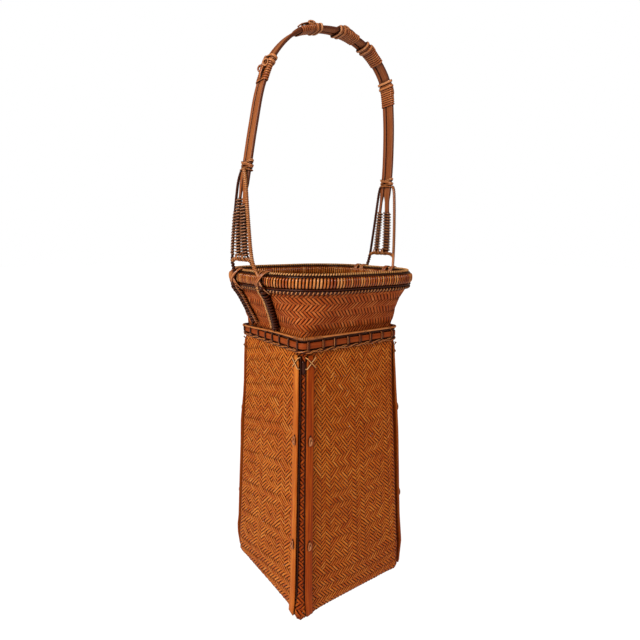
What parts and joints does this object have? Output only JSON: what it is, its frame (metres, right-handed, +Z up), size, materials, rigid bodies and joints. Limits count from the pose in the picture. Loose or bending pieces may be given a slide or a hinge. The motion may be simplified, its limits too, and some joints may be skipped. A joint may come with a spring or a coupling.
{
  "type": "ikebana basket",
  "caption": "Tall square woven bamboo flower basket with a flared woven neck, a wrapped rim, a lashed arch handle and a lift-out bamboo water tube.",
  "frame": {"origin": "on the floor, under the middle of the basket's square body", "axes": "+Z up; the handle arches over the X axis, so that its legs stand at -X and +X; -Y is the wide face on the right in the picture and -X the lit face on the left"},
  "size_m": [0.178, 0.156, 0.5391],
  "materials": {
    "body_weave": "smoked bamboo splints, twill woven, satin",
    "neck_weave": "fine smoked bamboo splints, twill woven, satin",
    "strip_bamboo": "flat smoked bamboo, satin",
    "handle_bamboo": "bent smoked bamboo strips, fine grooves, satin",
    "hoop_bamboo": "split bamboo, plain",
    "pale_rattan": "pale stained rattan strand, glossy",
    "brown_rattan": "brown stained rattan strand, glossy",
    "tube_bamboo": "cut bamboo stem, plain"
  },
  "bodies": {
    "basket": {"woven_body": "body_weave", "woven_neck": "neck_weave", "shoulder_band": "strip_bamboo", "shoulder_hoop": "pale_rattan", "shoulder_lashing": "pale_rattan", "strip_front_face_left": "strip_bamboo", "strip_left_face_front": "strip_bamboo", "strip_right_face_front": "strip_bamboo", "strip_back_face_left": "strip_bamboo", "upper_knot_front_left": "pale_rattan", "lower_knot_front_left": "pale_rattan", "upper_knot_left_front": "pale_rattan", "lower_knot_left_front": "pale_rattan", "upper_knot_right_front": "pale_rattan", "lower_knot_right_front": "pale_rattan", "upper_knot_back_left": "pale_rattan", "lower_knot_back_left": "pale_rattan", "cross_stitch_front_left": "pale_rattan", "cross_stitch_front_right": "pale_rattan", "cross_stitch_back_left": "pale_rattan", "rim_outer_hoop": "hoop_bamboo", "rim_inner_hoop": "hoop_bamboo", "rim_binding": "brown_rattan", "rim_twining": "pale_rattan", "rim_top_strand": "pale_rattan", "handle_front_strip": "handle_bamboo", "handle_back_strip": "handle_bamboo", "handle_knot_1": "pale_rattan", "handle_knot_2": "pale_rattan", "handle_knot_3": "pale_rattan", "handle_knot_4": "pale_rattan", "handle_knot_5": "pale_rattan", "cross_binding_left": "pale_rattan", "cross_binding_right": "pale_rattan", "leg_winding_left_front": "brown_rattan", "leg_winding_left_back": "brown_rattan", "leg_winding_right_front": "brown_rattan", "leg_winding_right_back": "brown_rattan", "rod_left_front": "brown_rattan", "rod_left_back": "brown_rattan", "rod_right_front": "brown_rattan", "rod_right_back": "brown_rattan", "yoke_left": "pale_rattan", "yoke_right": "pale_rattan", "rim_lashing_left": "pale_rattan", "rim_lashing_right": "pale_rattan"},
    "water_tube": {"water_tube": "tube_bamboo"}
  },
  "joints": [
    {"name": "water_tube_lift", "type": "slide", "parent": "basket", "child": "water_tube", "axis": [0, 0, 1], "range_m": [0, 0.318]}
  ]
}
